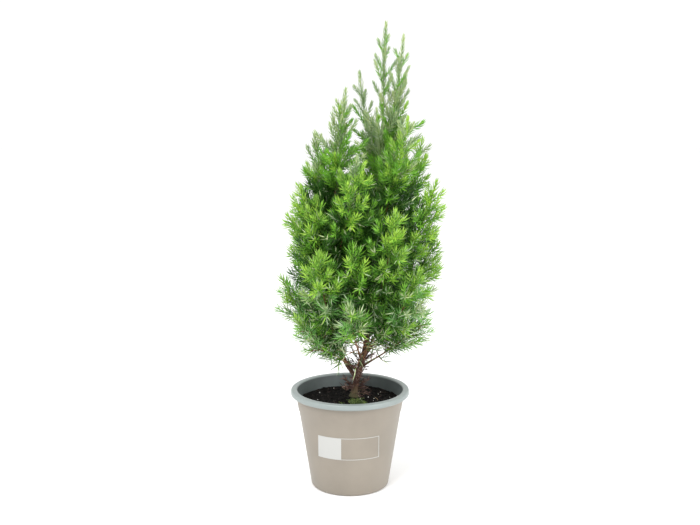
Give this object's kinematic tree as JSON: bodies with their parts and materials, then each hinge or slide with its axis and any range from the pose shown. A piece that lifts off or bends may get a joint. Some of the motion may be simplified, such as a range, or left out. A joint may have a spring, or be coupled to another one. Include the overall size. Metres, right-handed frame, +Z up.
{
  "type": "potted juniper",
  "caption": "Young upright Chinese juniper with feathery needled plumes on forked stems, growing in a round tapered nursery pot.",
  "frame": {"origin": "centre of the pot's flat underside", "axes": "+Z up along the pot's axis, -Y towards the viewer of the picture, +X to the viewer's right, the side the crown leans to"},
  "size_m": [0.1284, 0.1228, 0.35],
  "materials": {
    "pot": "satin moulded plastic",
    "peat": "damp crumbly peat",
    "bark": "flaky red-brown bark",
    "needles": "waxy needles"
  },
  "bodies": {
    "root": {"bough_01": "bark", "bough_02": "bark", "bough_03": "bark", "bough_04": "bark", "bough_05": "bark", "bough_06": "bark", "bough_07": "bark", "bough_08": "bark", "bough_09": "bark", "bough_10": "bark", "bough_11": "bark", "bough_12": "bark", "bough_13": "bark", "bough_14": "bark", "bough_15": "bark", "bough_16": "bark", "bough_17": "bark", "bough_18": "bark", "inner_1": "needles", "inner_2": "needles", "inner_3": "needles", "inner_4": "needles", "inner_5": "needles", "inner_6": "needles", "inner_7": "needles", "inner_8": "needles", "leader_back": "needles", "leader_left": "needles", "leader_main": "needles", "leader_right": "needles", "plume_01": "needles", "plume_02": "needles", "plume_03": "needles", "plume_04": "needles", "plume_05": "needles", "plume_06": "needles", "plume_07": "needles", "plume_08": "needles", "plume_09": "needles", "plume_10": "needles", "plume_11": "needles", "plume_12": "needles", "plume_13": "needles", "plume_14": "needles", "plume_15": "needles", "plume_16": "needles", "plume_17": "needles", "plume_18": "needles", "plume_19": "needles", "plume_20": "needles", "plume_21": "needles", "plume_22": "needles", "plume_23": "needles", "plume_24": "needles", "pot": "pot", "second_stem": "bark", "soil": "peat", "trunk": "bark"}
  },
  "joints": []
}
